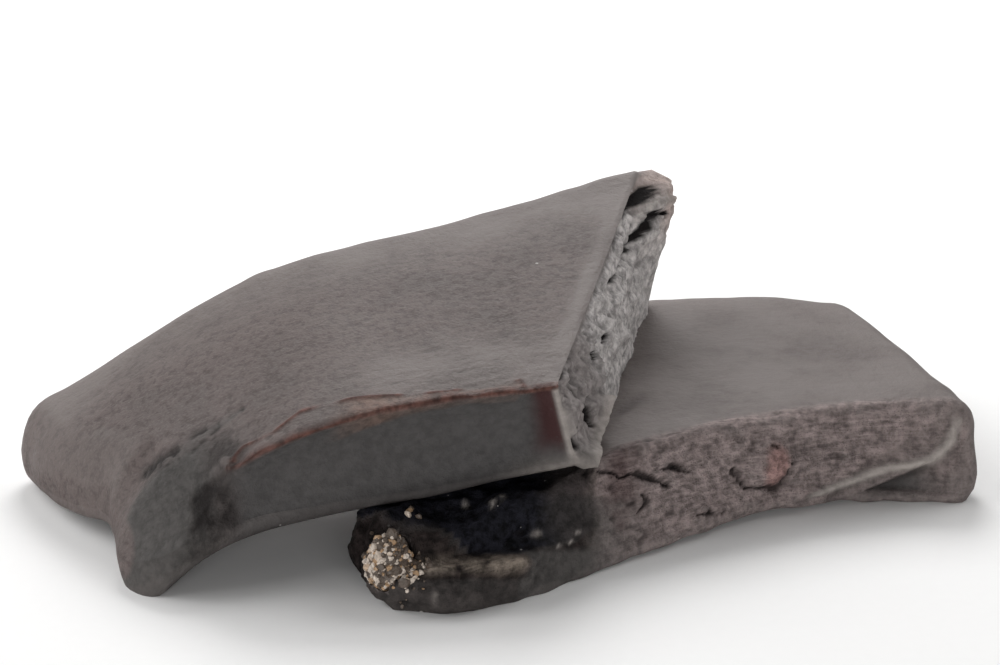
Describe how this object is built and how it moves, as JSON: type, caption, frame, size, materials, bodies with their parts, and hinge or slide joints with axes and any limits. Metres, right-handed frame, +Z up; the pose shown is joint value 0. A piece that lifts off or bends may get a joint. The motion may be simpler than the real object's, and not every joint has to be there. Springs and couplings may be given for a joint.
{
  "type": "ozokerite specimen",
  "caption": "Hand specimen of dark natural mineral wax: a slab with a broken end and down-bent lobes, fused slantwise across a flat slab with a black lumpy nose.",
  "frame": {"origin": "on the ground, under the middle of the specimen's box", "axes": "+X along the specimen, from the lobes to the free end of the lower slab; +Y from the front, where the concave channel and the nose are, to the back; +Z up, out of the face it rests on"},
  "size_m": [0.0928, 0.061, 0.0243],
  "materials": {
    "wax": "satin",
    "grains": "matte"
  },
  "bodies": {
    "root": {"ozokerite": "wax", "mineral_grains": "grains"}
  },
  "joints": []
}
